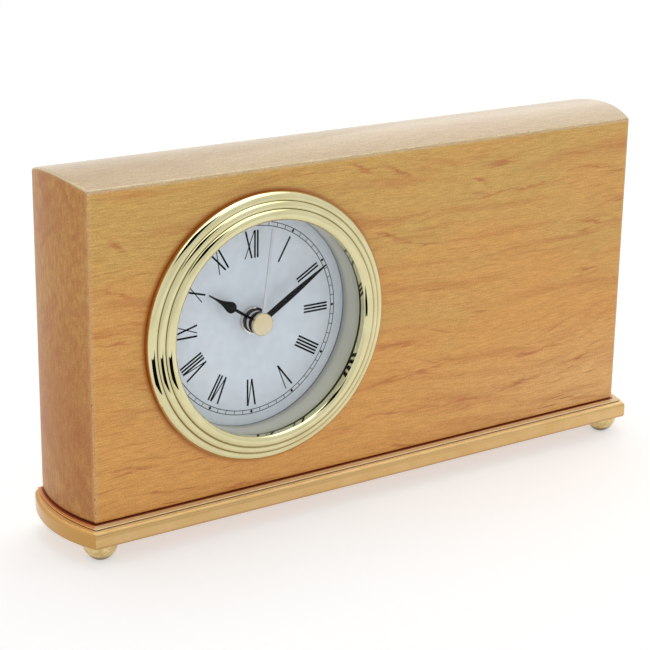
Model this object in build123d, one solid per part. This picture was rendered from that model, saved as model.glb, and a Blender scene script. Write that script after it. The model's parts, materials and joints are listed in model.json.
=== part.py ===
from build123d import *
import os
from math import cos, hypot, radians, sin, sqrt

# Wooden desk clock: a bowed block on a gilt moulding, with a push-in quartz clock insert.
# +X is the viewer's right, the dial faces -Y and +Z is up. Lengths are in millimetres.
# The origin lies on the table, under the middle of the base.

# Clearances
running_clearance = 0.05
seat_clearance = 0.05
slide_clearance = 0.1
overrun = 1.0

# Wooden block
block_length = 192.8
block_depth = 32.7
block_height = 94.6
end_bow = 3.0
top_bow = 2.6
block_ease = 0.8
bore_radius = 36.5
bore_ease = 0.6

# Gilt base moulding: a thin land over a bead along the front and the ends, cut flat at the rear
land_end_overhang = 1.3
land_front_overhang = 2.5
riser_height = 0.55
bead_height = 5.2
bead_end_overhang = 2.2
bead_end_bow = 4.4
bead_front_overhang = 4.2
bead_top_round = 1.3
bead_bottom_round = 1.0
base_rear_overhang = 0.6

# Feet
foot_radius = 5.0
foot_height = 5.4
foot_flat_radius = 1.6
foot_inset_x = 4.6
foot_inset_y = 6.3
stud_radius = 1.5
stud_length = 4.0
stud_hole_spare = 0.4

# Screws that hold the base to the block
screw_offset = 75.0
screw_radius = 1.6
screw_head_radius = 3.2
screw_head_height = 1.6
screw_grip = 8.0
screw_point = 2.4
screw_tip_radius = 0.4
screw_slot_width = 0.8
screw_slot_depth = 0.7

# Place of the clock insert: its axis, from the block's middle and as a share of its height
insert_x = -40.5
insert_rise_share = 0.5105

# Bezel: three beads that climb from the outer edge to the lip
bezel_wall = 1.65
bezel_edge = 1.3
outer_bead_width = 2.48
outer_bead_rise = 1.5
outer_bead_bulge = 0.6
middle_bead_width = 2.15
middle_bead_rise = 0.9
middle_bead_bulge = 0.5
lip_lap = 1.27
lip_rise = 0.1
inner_bead_bulge = 1.0

# Lens, reflector ring and dial, one behind the other in the housing
lens_depth = 2.0
lens_thickness = 1.6
reflector_wall = 0.9
reflector_length = 8.6
dial_thickness = 0.5

# Housing
housing_wall = 1.55
housing_ledge = 1.4
housing_back = 1.5
housing_round = 1.0
flange_width = 3.4
flange_thickness = 1.4

# Rubber grip band, in the room between the housing and the bore
band_room = 1.9
band_depth = 5.0
band_length = 13.0
band_thickness = 0.8
band_ribs = 3
band_rib_width = 1.6

# Movement case, which stands clear of the housing at its round corners
movement_corner_gap = 4.27
movement_corner = 9.0
movement_wall = 1.2
movement_plate = 1.3
movement_depth = 13.2
movement_back = 1.4
bearing_depth = 0.8
bush_radius = 3.5
bush_length = 2.7
washer_radius = 6.0
washer_thickness = 0.6
nut_radius = 4.0
nut_thickness = 1.6

# Wheel train: shares of a tooth's module and pitch
addendum_share = 0.9
dedendum_share = 1.15
root_width_share = 0.5
tip_width_share = 0.16

# Wheel train: tooth counts
second_pinion_teeth = 8
third_wheel_teeth = 64
third_pinion_teeth = 8
minute_wheel_teeth = 60
cannon_teeth = 12
motion_wheel_teeth = 36
motion_pinion_teeth = 10
hour_wheel_teeth = 40
knob_pinion_teeth = 12
second_wheel_teeth = 40
idler_pinion_teeth = 8
idler_wheel_teeth = 48
rotor_pinion_teeth = 8

# Wheel train: centre distances as shares of the movement's side, directions and layers
third_distance_share = 0.232
third_direction = 225.0
motion_distance_share = 0.191
motion_direction = 90.0
idler_distance_share = 0.1635
idler_direction = -20.0
rotor_distance_share = 0.159
wheel_layers = 6
wheel_thickness = 0.8
rotor_rear_gap = 2.2

# Arbors, tubes and posts
arbor_radius = 0.5
minute_tube_radius = 1.2
hour_tube_radius = 2.0
motion_post_radius = 0.6
idler_post_radius = 0.5
rotor_post_radius = 0.4
post_tip = 0.2
knob_shaft_radius = 1.2
knob_pivot_radius = 0.6

# Hands, whose tips stand clear of the reflector ring
hand_thickness = 0.3
hub_height = 1.0
hub_gap = 0.4
hour_hub_radius = 3.3
hour_tip_gap = 13.0
hour_hand_width = 3.3
hour_hand_clock_angle = 303.0
minute_hub_radius = 3.3
minute_tip_gap = 5.4
minute_hand_width = 1.9
minute_hand_clock_angle = 58.5
second_cap_radius = 3.4
second_cap_height = 1.0
second_cap_round = 0.4
second_tip_gap = 4.2
second_hand_width = 1.0
second_hand_clock_angle = 7.2

# Half outlines of the hands, as shares of their length and width
hour_stem_shares = ((0.0, 0.13), (0.455, 0.13))
hour_leaf_shares = (
    (0.455, 0.13), (0.5, 0.43), (0.55, 0.5), (0.63, 0.37), (0.735, 0.19), (0.85, 0.1), (1.0, 0.06)
)
minute_side_shares = ((0.0, 0.49), (0.42, 0.5), (0.62, 0.42), (1.0, 0.08))
second_side_shares = ((0.0, 0.5), (1.0, 0.35))

# Step motor, with the coil's place as shares of the movement's side
rotor_radius = 2.6
rotor_length = 2.0
rotor_sleeve_radius = 1.0
stator_thickness = 1.0
stator_gap = 0.4
stator_pole = 2.0
stator_leg = 2.2
core_width = 3.0
coil_drop_share = 0.25
coil_left_share = 0.114
coil_gap = 0.7
bobbin_radius = 2.3
bobbin_flange_radius = 3.0
bobbin_flange = 0.8
winding_radius = 2.8
stator_post_radius = 1.0

# Circuit, with its place as shares of the movement's side
board_x_share = 0.068
board_rise_share = 0.364
board_length = 14.0
board_width = 6.0
board_thickness = 0.8
board_post_length = 2.0
board_post_radius = 0.9
board_post_spacing = 10.0
chip_side = 3.0
chip_height = 1.0
chip_offset = 3.0
crystal_radius = 1.0
crystal_length = 6.0
crystal_offset = 3.2

# Button cell, its contacts and its door, with the cell's place as shares of the movement's side
cell_x_share = -0.261
cell_drop_share = 0.239
cell_radius = 5.8
cell_height = 5.4
cell_step = 0.6
cell_spare = 0.3
pocket_radius = 6.35
pocket_wall = 0.85
pocket_floor = 0.8
contact_thickness = 0.2
contact_width = 4.0
contact_length = 10.0
blade_thickness = 0.25
blade_width = 3.0
blade_length = 4.0
door_radius = 6.6
door_thickness = 1.0
door_ledge_radius = 6.05
door_slot_length = 8.0
door_slot_width = 1.4
door_slot_depth = 0.5

# Setting knob
knob_radius = 5.0
knob_thickness = 3.0
knob_gap = 0.4
knob_flutes = 24
knob_flute_radius = 0.4

# Heights of the case, from the table up
base_bottom = foot_height
base_top = base_bottom + bead_height + riser_height
block_bottom = base_top
block_top = block_bottom + block_height
insert_height = block_bottom + insert_rise_share * block_height

# Depths of the case, with the origin under the middle of the base
bezel_reach = bezel_edge + outer_bead_rise + middle_bead_rise + lip_rise / 2 + inner_bead_bulge
block_y = (max(bead_front_overhang, bezel_reach) - base_rear_overhang) / 2
front_y = block_y - block_depth / 2
rear_y = block_y + block_depth / 2

# Radii of the insert, from the block's bore inwards and from the housing outwards
housing_radius = bore_radius - band_room
insert_bore_radius = housing_radius - housing_wall
lens_radius = insert_bore_radius - seat_clearance
reflector_inner_radius = lens_radius - reflector_wall
lip_radius = lens_radius - lip_lap
flange_radius = housing_radius + flange_width
bezel_radius = flange_radius + bezel_wall
housing_inside_radius = insert_bore_radius - housing_ledge
movement_corner_reach = housing_inside_radius - movement_corner_gap
movement_side = sqrt(2) * (movement_corner_reach - movement_corner) + 2 * movement_corner

# Places in the movement
third_distance = third_distance_share * movement_side
motion_distance = motion_distance_share * movement_side
idler_distance = idler_distance_share * movement_side
rotor_distance = rotor_distance_share * movement_side
coil_drop = coil_drop_share * movement_side
coil_left = coil_left_share * movement_side
board_x = board_x_share * movement_side
board_rise = board_rise_share * movement_side
cell_x = cell_x_share * movement_side
cell_drop = cell_drop_share * movement_side

# Depths of the insert, from the block's front face inwards
lens_front = -lens_depth
lens_back = lens_front + lens_thickness
dial_front = lens_back + reflector_length
dial_back = dial_front + dial_thickness
plate_front = dial_back + washer_thickness
plate_back = plate_front + movement_plate
cover_back = plate_back + movement_depth
cover_inside = cover_back - movement_back
housing_rear = cover_back + housing_back
bush_front = plate_front - bush_length - washer_thickness
arbor_back = cover_inside + bearing_depth

# The wheels share the movement's depth with the rotor
wheel_room = movement_depth - movement_back - rotor_length - rotor_rear_gap
wheel_gap = (wheel_room - wheel_layers * wheel_thickness) / (wheel_layers + 1)

# Depths of the hands
hour_tube_front = bush_front - hub_gap - hub_height
minute_tube_front = hour_tube_front - hub_gap - hub_height
second_hand_front = minute_tube_front - hub_gap - second_cap_height

# Lengths of the hands
hour_hand_length = reflector_inner_radius - hour_tip_gap
minute_hand_length = reflector_inner_radius - minute_tip_gap
second_hand_length = reflector_inner_radius - second_tip_gap

# Modules of the meshing pairs
second_module = 2 * third_distance / (second_pinion_teeth + third_wheel_teeth)
minute_module = 2 * third_distance / (third_pinion_teeth + minute_wheel_teeth)
motion_module = 2 * motion_distance / (cannon_teeth + motion_wheel_teeth)
hour_module = 2 * motion_distance / (motion_pinion_teeth + hour_wheel_teeth)
idler_module = 2 * idler_distance / (idler_pinion_teeth + second_wheel_teeth)
rotor_module = 2 * rotor_distance / (rotor_pinion_teeth + idler_wheel_teeth)
knob_distance = motion_module * (knob_pinion_teeth + motion_wheel_teeth) / 2

# The insert's own frame: x to the right, y down, z from the block's front face into the block
insert_frame = Plane(origin=(insert_x, front_y, insert_height), x_dir=(1, 0, 0), z_dir=(0, 1, 0))


def polar(distance, direction):
    """A point in the insert's frame, from its axis."""
    return distance * cos(radians(direction)), distance * sin(radians(direction))


third_spot = polar(third_distance, third_direction)
motion_spot = polar(motion_distance, motion_direction)
idler_spot = polar(idler_distance, idler_direction)
rotor_spot = polar(idler_distance + rotor_distance, idler_direction)
knob_spot = polar(motion_distance + knob_distance, motion_direction)
cell_spot = (cell_x, cell_drop)


def layer(number):
    """Front and back of one layer of wheels behind the movement's front plate."""
    front = plate_back + wheel_gap + number * (wheel_thickness + wheel_gap)
    return front, front + wheel_thickness


hour_layer = layer(0)
motion_layer = layer(1)
minute_layer = layer(2)
third_layer = layer(3)
second_layer = layer(4)
idler_layer = layer(5)
rotor_front = idler_layer[1] + wheel_gap
rotor_back = rotor_front + rotor_length
stator_front = (rotor_front + rotor_back - stator_thickness) / 2
stator_back = stator_front + stator_thickness


def disc(radius, front, back, spot=(0, 0)):
    """A round bar along the insert's axis."""
    return Pos(spot[0], spot[1], front) * extrude(Circle(radius), back - front, dir=(0, 0, 1))


def ring(outer, inner, front, back, spot=(0, 0)):
    """A round tube along the insert's axis."""
    return disc(outer, front, back, spot) - disc(inner, front - overrun, back + overrun, spot)


def slab(left, right, top, bottom, front, back):
    """A rectangular block in the insert's frame."""
    corner = (Align.MIN, Align.MIN, Align.MIN)
    return Pos(left, top, front) * Box(right - left, bottom - top, back - front, align=corner)


def toothed(teeth, module, layer_span, turn, spot=(0, 0)):
    """A gear with slim straight-sided teeth, one of them centred on the angle turn."""
    pitch_radius = teeth * module / 2
    root = pitch_radius - dedendum_share * module
    tip = pitch_radius + addendum_share * module
    step = 360 / teeth
    rising = ((root, -root_width_share), (tip, -tip_width_share))
    falling = ((tip, tip_width_share), (root, root_width_share))
    corners = [
        polar(radius, turn + (tooth + share / 2) * step)
        for tooth in range(teeth)
        for radius, share in rising + falling
    ]
    blank = extrude(Polygon(*corners, align=None), layer_span[1] - layer_span[0], dir=(0, 0, 1))
    return Pos(spot[0], spot[1], layer_span[0]) * blank


def gap_turn(direction, teeth):
    """The turn that puts a gap between two teeth on the line to the mating gear."""
    return direction + 180 / teeth


def bulged(start, end, bulge):
    """An arc between two points of a section, standing out by bulge."""
    run = (end[0] - start[0], end[1] - start[1])
    chord = hypot(*run)
    middle = (
        (start[0] + end[0]) / 2 - bulge * run[1] / chord,
        (start[1] + end[1]) / 2 + bulge * run[0] / chord,
    )
    return ThreePointArc(start, middle, end)


def turned(edges):
    """A solid of revolution about Z, from a section of radius and height."""
    return revolve(Plane.XZ * make_face(edges), Axis.Z)


def plan(end=0, front=0, rear=0, bow=end_bow):
    """The block's plan with bowed ends, grown by overhangs at its ends, front and rear."""
    half_length = block_length / 2 + end
    front_edge = front_y - front
    rear_edge = rear_y + rear
    apex = (half_length + bow, (front_edge + rear_edge) / 2)
    return make_face([
        Line((-half_length, front_edge), (half_length, front_edge)),
        ThreePointArc((half_length, front_edge), apex, (half_length, rear_edge)),
        Line((half_length, rear_edge), (-half_length, rear_edge)),
        ThreePointArc((-half_length, rear_edge), (-apex[0], apex[1]), (-half_length, front_edge)),
    ])


screw_places = [(side * screw_offset, block_y) for side in (-1, 1)]
foot_x = block_length / 2 + bead_end_overhang - foot_inset_x
foot_front_y = front_y - bead_front_overhang + foot_inset_y
foot_rear_y = rear_y + base_rear_overhang - foot_inset_y
foot_places = {
    "front_left": (-foot_x, foot_front_y),
    "front_right": (foot_x, foot_front_y),
    "rear_left": (-foot_x, foot_rear_y),
    "rear_right": (foot_x, foot_rear_y),
}


def upright(radius, bottom, top):
    """A round bar along Z."""
    return Pos(0, 0, bottom) * extrude(Circle(radius), top - bottom, dir=(0, 0, 1))


def wood_block():
    section = make_face([
        Line((front_y, block_bottom), (rear_y, block_bottom)),
        Line((rear_y, block_bottom), (rear_y, block_top)),
        ThreePointArc((rear_y, block_top), (block_y, block_top + top_bow), (front_y, block_top)),
        Line((front_y, block_top), (front_y, block_bottom)),
    ])
    crown = extrude(Plane.YZ * section, block_length / 2 + end_bow + overrun, both=True)
    body = Pos(0, 0, block_bottom) * extrude(plan(), block_height + top_bow + overrun, dir=(0, 0, 1))
    body = body & crown
    body = fillet(body.edges(), block_ease)
    body -= insert_frame.location * disc(bore_radius, -overrun, block_depth + overrun)
    rims = body.edges().filter_by(GeomType.CIRCLE).sort_by(Axis.Y)
    body = chamfer(rims[-1], bore_ease)
    pilot_top = block_bottom + screw_grip + seat_clearance
    for x, y in screw_places:
        body -= Pos(x, y, 0) * upright(screw_radius + seat_clearance, block_bottom - overrun, pilot_top)
    return body


def countersunk(shaft_radius, head_radius, top):
    """A countersunk bar whose head lies in the underside of the base."""
    shaft = upright(shaft_radius, base_bottom + screw_head_height, top)
    head = Pos(0, 0, base_bottom + screw_head_height / 2) * Cone(head_radius, shaft_radius, screw_head_height)
    return shaft + head


def moulded_rim(body, level):
    """Edges along the front and the ends, at the lowest or the highest level of a body."""
    return body.edges().group_by(Axis.Z)[level].filter_by(lambda edge: (edge @ 0.5).Y < rear_y)


def base_plate():
    bead_plan = plan(bead_end_overhang, bead_front_overhang, base_rear_overhang, bead_end_bow)
    bead = Pos(0, 0, base_bottom) * extrude(bead_plan, bead_height, dir=(0, 0, 1))
    bead = fillet(moulded_rim(bead, -1), bead_top_round)
    bead = fillet(moulded_rim(bead, 0), bead_bottom_round)
    land_plan = plan(land_end_overhang, land_front_overhang, base_rear_overhang)
    land_bottom = base_bottom + bead_height - bead_top_round
    body = bead + Pos(0, 0, land_bottom) * extrude(land_plan, base_top - land_bottom, dir=(0, 0, 1))
    hole_radius = screw_radius + seat_clearance
    hole = countersunk(hole_radius, screw_head_radius + seat_clearance, base_top + overrun)
    for x, y in screw_places:
        body -= Pos(x, y, 0) * hole
    stud_top = base_bottom + stud_length + stud_hole_spare
    for x, y in foot_places.values():
        body -= Pos(x, y, 0) * upright(stud_radius + seat_clearance, base_bottom - overrun, stud_top)
    return body


def base_screw():
    shank_top = block_bottom + screw_grip - screw_point
    body = countersunk(screw_radius, screw_head_radius, shank_top)
    body += Pos(0, 0, shank_top + screw_point / 2) * Cone(screw_radius, screw_tip_radius, screw_point)
    slot = Box(2 * screw_head_radius + overrun, screw_slot_width, 2 * screw_slot_depth)
    return body - Pos(0, 0, base_bottom) * slot


def foot():
    dome_depth = foot_height / sqrt(1 - (foot_flat_radius / foot_radius) ** 2)
    shoulder = (foot_radius * cos(radians(45)), base_bottom - dome_depth * sin(radians(45)))
    body = turned([
        Line((0, base_bottom), (foot_radius, base_bottom)),
        ThreePointArc((foot_radius, base_bottom), shoulder, (foot_flat_radius, 0)),
        Line((foot_flat_radius, 0), (0, 0)),
        Line((0, 0), (0, base_bottom)),
    ])
    return body + upright(stud_radius, base_bottom, base_bottom + stud_length)


def bezel():
    edge = (bezel_radius, -bezel_edge)
    outer_groove = (edge[0] - outer_bead_width, edge[1] - outer_bead_rise)
    middle_groove = (outer_groove[0] - middle_bead_width, outer_groove[1] - middle_bead_rise)
    lip = (lip_radius, middle_groove[1] - lip_rise)
    seat_radius = insert_bore_radius
    flange_seat = flange_radius + seat_clearance
    back = [
        lip,
        (lip_radius, lens_front),
        (seat_radius, lens_front),
        (seat_radius, -flange_thickness),
        (flange_seat, -flange_thickness),
        (flange_seat, 0),
        (bezel_radius, 0),
        edge,
    ]
    front = [
        bulged(edge, outer_groove, outer_bead_bulge),
        bulged(outer_groove, middle_groove, middle_bead_bulge),
        bulged(middle_groove, lip, inner_bead_bulge),
    ]
    return turned(front + Polyline(*back).edges())


def lens():
    return disc(lens_radius, lens_front, lens_back)


def reflector_ring():
    return ring(lens_radius, reflector_inner_radius, lens_back, dial_front)


def dial():
    return ring(lens_radius, bush_radius + seat_clearance, dial_front, dial_back)


def housing():
    cup = disc(housing_radius, 0, housing_rear)
    cup = fillet(cup.edges().sort_by(Axis.Z)[-1], housing_round)
    body = cup + disc(flange_radius, -flange_thickness, 0)
    body -= disc(insert_bore_radius, -flange_thickness - overrun, dial_back)
    body -= disc(housing_inside_radius, dial_back - overrun, cover_back)
    door_seat = housing_rear - door_thickness
    body -= disc(door_radius, door_seat, housing_rear + overrun, cell_spot)
    body -= disc(door_ledge_radius, cover_back - overrun, door_seat + overrun, cell_spot)
    knob_hole = knob_shaft_radius + running_clearance
    return body - disc(knob_hole, cover_back - overrun, housing_rear + overrun, knob_spot)


def grip_band():
    inner = housing_radius + seat_clearance
    outer = bore_radius - slide_clearance
    body = ring(inner + band_thickness, inner, band_depth, band_depth + band_length)
    spacing = (band_length - band_rib_width) / (band_ribs - 1)
    for number in range(band_ribs):
        start = band_depth + number * spacing
        body += ring(outer, inner, start, start + band_rib_width)
    return body


def movement_outline(inset):
    side = movement_side - 2 * inset
    return RectangleRounded(side, side, movement_corner - inset)


def movement_front():
    body = Pos(0, 0, plate_front) * extrude(movement_outline(0), movement_plate, dir=(0, 0, 1))
    body += disc(bush_radius, bush_front, plate_front)
    body += disc(motion_post_radius, plate_back, motion_layer[1] + post_tip, motion_spot)
    body -= disc(hour_tube_radius + running_clearance, bush_front - overrun, plate_back + overrun)
    bearing_floor = plate_back - bearing_depth - running_clearance
    body -= disc(arbor_radius + running_clearance, bearing_floor, plate_back + overrun, third_spot)
    pivot_hole = knob_pivot_radius + running_clearance
    return body - disc(pivot_hole, bearing_floor, plate_back + overrun, knob_spot)


def stator_spans():
    """Left, right, top and bottom of the stator's core, legs and pole plate."""
    right = rotor_spot[0] + rotor_radius + stator_gap + stator_pole
    left = coil_left - stator_leg
    bottom = coil_drop + core_width / 2
    pole_left = rotor_spot[0] - rotor_radius - stator_gap - stator_pole
    pole_top = rotor_spot[1] - rotor_radius - stator_gap - stator_pole
    pole_bottom = rotor_spot[1] + rotor_radius + stator_gap + stator_pole
    arm_bottom = pole_bottom + stator_leg
    return {
        "core": (left, right, bottom - core_width, bottom),
        "left_leg": (left, left + stator_leg, pole_bottom, bottom),
        "right_leg": (right - stator_leg, right, pole_top, bottom),
        "arm": (left, right, pole_bottom, arm_bottom),
        "pole": (pole_left, right, pole_top, arm_bottom),
    }


def stator_posts():
    """Where the movement cover carries the stator."""
    spans = stator_spans()
    leg_right, leg_top = spans["right_leg"][1:3]
    arm_left, arm_top = spans["arm"][0], spans["arm"][2]
    return [
        (leg_right - stator_post_radius, leg_top + stator_post_radius),
        (arm_left + stator_post_radius, arm_top + stator_post_radius),
    ]


board_posts = [(board_x + side * board_post_spacing / 2, -board_rise) for side in (-1, 1)]
board_back = cover_inside - board_post_length
board_front = board_back - board_thickness
cell_back = housing_rear - door_thickness - cell_spare
cell_front = cell_back - cell_height
pocket_inside = cell_front - contact_thickness


def movement_cover():
    body = Pos(0, 0, plate_back) * extrude(movement_outline(0), movement_depth, dir=(0, 0, 1))
    hollow = extrude(movement_outline(movement_wall), movement_depth - movement_back + overrun, dir=(0, 0, 1))
    body -= Pos(0, 0, plate_back - overrun) * hollow
    body += disc(pocket_radius + pocket_wall, pocket_inside - pocket_floor, cover_back, cell_spot)
    body -= disc(pocket_radius, pocket_inside, cover_back + overrun, cell_spot)
    body += disc(idler_post_radius, second_layer[0] - post_tip, cover_inside, idler_spot)
    body += disc(rotor_post_radius, idler_layer[0] - post_tip, cover_inside, rotor_spot)
    for spot in stator_posts():
        body += disc(stator_post_radius, stator_back, cover_inside, spot)
    for spot in board_posts:
        body += disc(board_post_radius, board_back, cover_inside, spot)
    bearing_floor = arbor_back + running_clearance
    for spot in ((0, 0), third_spot):
        body -= disc(arbor_radius + running_clearance, cover_inside - overrun, bearing_floor, spot)
    knob_hole = knob_shaft_radius + running_clearance
    return body - disc(knob_hole, cover_inside - overrun, cover_back + overrun, knob_spot)


def dial_washer():
    return ring(washer_radius, bush_radius + seat_clearance, dial_back, plate_front)


def dial_nut():
    return ring(nut_radius, bush_radius + seat_clearance, dial_front - nut_thickness, dial_front)


def hand_blade(side_edges, front, clock_angle):
    """A flat hand, mirrored about its middle and turned to its clock angle."""
    half_tail = side_edges[0] @ 0
    half_tip = side_edges[-1] @ 1
    mirrored = [edge.mirror(Plane.XZ) for edge in side_edges]
    ends = [
        Line((half_tail.X, -half_tail.Y), (half_tail.X, half_tail.Y)),
        Line((half_tip.X, half_tip.Y), (half_tip.X, -half_tip.Y)),
    ]
    blade = extrude(make_face(side_edges + mirrored + ends), hand_thickness, dir=(0, 0, 1))
    return Pos(0, 0, front) * Rot(0, 0, clock_angle - 90) * blade


def scaled(shares, length, width):
    """Half an outline in real size, from shares of a hand's length and width."""
    return [(along * length, across * width) for along, across in shares]


def hour_hand():
    stem = Polyline(*scaled(hour_stem_shares, hour_hand_length, hour_hand_width)).edges()
    leaf = Spline(*scaled(hour_leaf_shares, hour_hand_length, hour_hand_width)).edges()
    front = hour_tube_front + (hub_height - hand_thickness) / 2
    blade = hand_blade(stem + leaf, front, hour_hand_clock_angle)
    hub_back = hour_tube_front + hub_height
    body = blade + disc(hour_hub_radius, hour_tube_front, hub_back)
    return body - disc(hour_tube_radius, hour_tube_front - overrun, hub_back + overrun)


def minute_hand():
    sides = Polyline(*scaled(minute_side_shares, minute_hand_length, minute_hand_width)).edges()
    front = minute_tube_front + (hub_height - hand_thickness) / 2
    blade = hand_blade(sides, front, minute_hand_clock_angle)
    hub_back = minute_tube_front + hub_height
    body = blade + disc(minute_hub_radius, minute_tube_front, hub_back)
    return body - disc(minute_tube_radius, minute_tube_front - overrun, hub_back + overrun)


def second_hand():
    sides = Polyline(*scaled(second_side_shares, second_hand_length, second_hand_width)).edges()
    back = second_hand_front + second_cap_height
    blade = hand_blade(sides, second_hand_front + second_cap_round, second_hand_clock_angle)
    cap = disc(second_cap_radius, second_hand_front, back)
    cap = fillet(cap.edges().sort_by(Axis.Z)[0], second_cap_round)
    socket = disc(arbor_radius, second_hand_front + second_cap_height / 2, back + overrun)
    return cap + blade - socket


def second_wheel():
    body = disc(arbor_radius, second_hand_front + second_cap_height / 2, arbor_back)
    turn = gap_turn(third_direction, second_pinion_teeth)
    body += toothed(second_pinion_teeth, second_module, third_layer, turn)
    return body + toothed(second_wheel_teeth, idler_module, second_layer, idler_direction)


def third_wheel():
    toward_centre = third_direction + 180
    body = disc(arbor_radius, plate_back - bearing_depth, arbor_back, third_spot)
    turn = gap_turn(toward_centre, third_pinion_teeth)
    body += toothed(third_pinion_teeth, minute_module, minute_layer, turn, third_spot)
    return body + toothed(third_wheel_teeth, second_module, third_layer, toward_centre, third_spot)


def minute_wheel():
    body = toothed(minute_wheel_teeth, minute_module, minute_layer, third_direction)
    bore = minute_tube_radius + running_clearance
    return body - disc(bore, minute_layer[0] - overrun, minute_layer[1] + overrun)


def minute_arbor():
    body = disc(minute_tube_radius, minute_tube_front, minute_layer[1] + post_tip)
    body += toothed(cannon_teeth, motion_module, motion_layer, gap_turn(motion_direction, cannon_teeth))
    bore = arbor_radius + running_clearance
    return body - disc(bore, minute_tube_front - overrun, minute_layer[1] + post_tip + overrun)


def motion_wheel():
    toward_centre = motion_direction + 180
    turn = gap_turn(toward_centre, motion_pinion_teeth)
    body = toothed(motion_pinion_teeth, hour_module, hour_layer, turn, motion_spot)
    body += disc(motion_pinion_teeth * hour_module / 2, hour_layer[1], motion_layer[0], motion_spot)
    body += toothed(motion_wheel_teeth, motion_module, motion_layer, toward_centre, motion_spot)
    bore = motion_post_radius + running_clearance
    return body - disc(bore, hour_layer[0] - overrun, motion_layer[1] + overrun, motion_spot)


def hour_wheel():
    body = disc(hour_tube_radius, hour_tube_front, hour_layer[1])
    body += toothed(hour_wheel_teeth, hour_module, hour_layer, motion_direction)
    bore = minute_tube_radius + running_clearance
    return body - disc(bore, hour_tube_front - overrun, hour_layer[1] + overrun)


def setting_knob():
    knob_front = housing_rear + knob_gap
    knob_back = knob_front + knob_thickness
    grip = disc(knob_radius, knob_front, knob_back, knob_spot)
    for number in range(knob_flutes):
        flute = polar(knob_radius, number * 360 / knob_flutes)
        spot = (knob_spot[0] + flute[0], knob_spot[1] + flute[1])
        grip -= disc(knob_flute_radius, knob_front - overrun, knob_back + overrun, spot)
    body = grip + disc(knob_shaft_radius, motion_layer[0], knob_front, knob_spot)
    body += disc(knob_pivot_radius, plate_back - bearing_depth, motion_layer[0], knob_spot)
    turn = gap_turn(motion_direction + 180, knob_pinion_teeth)
    return body + toothed(knob_pinion_teeth, motion_module, motion_layer, turn, knob_spot)


def intermediate_wheel():
    turn = gap_turn(idler_direction + 180, idler_pinion_teeth)
    body = toothed(idler_pinion_teeth, idler_module, second_layer, turn, idler_spot)
    body += disc(idler_pinion_teeth * idler_module / 2, second_layer[1], idler_layer[0], idler_spot)
    body += toothed(idler_wheel_teeth, rotor_module, idler_layer, idler_direction, idler_spot)
    bore = idler_post_radius + running_clearance
    return body - disc(bore, second_layer[0] - overrun, idler_layer[1] + overrun, idler_spot)


def rotor_pinion():
    turn = gap_turn(idler_direction + 180, rotor_pinion_teeth)
    body = toothed(rotor_pinion_teeth, rotor_module, idler_layer, turn, rotor_spot)
    body += disc(rotor_sleeve_radius, idler_layer[1], rotor_back, rotor_spot)
    bore = rotor_post_radius + running_clearance
    return body - disc(bore, idler_layer[0] - overrun, rotor_back + overrun, rotor_spot)


def rotor_magnet():
    return ring(rotor_radius, rotor_sleeve_radius, rotor_front, rotor_back, rotor_spot)


def stator():
    spans = stator_spans().values()
    body = Part() + [slab(*span, stator_front, stator_back) for span in spans]
    hole = rotor_radius + stator_gap
    return body - disc(hole, stator_front - overrun, stator_back + overrun, rotor_spot)


def coil_bar(radius, start, end):
    """A round bar along the coil, in the stator's middle plane."""
    middle = (stator_front + stator_back) / 2
    bar = Rot(0, 90, 0) * extrude(Circle(radius), end - start, dir=(0, 0, 1))
    return Pos(start, coil_drop, middle) * bar


def coil_end():
    """The coil's right end, beside the stator's right leg."""
    return stator_spans()["right_leg"][0] - coil_gap


def coil_bobbin():
    coil_right = coil_end()
    body = coil_bar(bobbin_radius, coil_left, coil_right)
    body += coil_bar(bobbin_flange_radius, coil_left, coil_left + bobbin_flange)
    body += coil_bar(bobbin_flange_radius, coil_right - bobbin_flange, coil_right)
    half_core = core_width / 2 + seat_clearance
    slot = slab(
        coil_left - overrun,
        coil_right + overrun,
        coil_drop - half_core,
        coil_drop + half_core,
        stator_front - seat_clearance,
        stator_back + seat_clearance,
    )
    return body - slot


def coil_winding():
    start = coil_left + bobbin_flange
    end = coil_end() - bobbin_flange
    hollow = coil_bar(bobbin_radius + seat_clearance, start - overrun, end + overrun)
    return coil_bar(winding_radius, start, end) - hollow


def circuit_board():
    half_length = board_length / 2
    half_width = board_width / 2
    return slab(
        board_x - half_length,
        board_x + half_length,
        -board_rise - half_width,
        -board_rise + half_width,
        board_front,
        board_back,
    )


def circuit_chip():
    middle = board_x - chip_offset
    half_side = chip_side / 2
    return slab(
        middle - half_side,
        middle + half_side,
        -board_rise - half_side,
        -board_rise + half_side,
        board_front - chip_height,
        board_front,
    )


def quartz_crystal():
    can = Rot(0, 90, 0) * Cylinder(crystal_radius, crystal_length)
    return Pos(board_x + crystal_offset, -board_rise, board_front - crystal_radius - seat_clearance) * can


def battery():
    body = disc(cell_radius, cell_front + cell_step, cell_back, cell_spot)
    return body + disc(cell_radius - cell_step, cell_front, cell_front + cell_step, cell_spot)


def negative_contact():
    half_length = contact_length / 2
    half_width = contact_width / 2
    return slab(
        cell_x - half_length,
        cell_x + half_length,
        cell_drop - half_width,
        cell_drop + half_width,
        pocket_inside,
        cell_front,
    )


def positive_contact():
    inner = cell_x - cell_radius - seat_clearance
    half_width = blade_width / 2
    return slab(
        inner - blade_thickness,
        inner,
        cell_drop - half_width,
        cell_drop + half_width,
        cover_back - blade_length,
        cover_back,
    )


def battery_door():
    seat = housing_rear - door_thickness
    body = disc(door_radius - running_clearance, seat, housing_rear, cell_spot)
    half_length = door_slot_length / 2
    half_width = door_slot_width / 2
    slot = slab(
        cell_x - half_length,
        cell_x + half_length,
        cell_drop - half_width,
        cell_drop + half_width,
        housing_rear - door_slot_depth,
        housing_rear + overrun,
    )
    return body - slot


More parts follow.
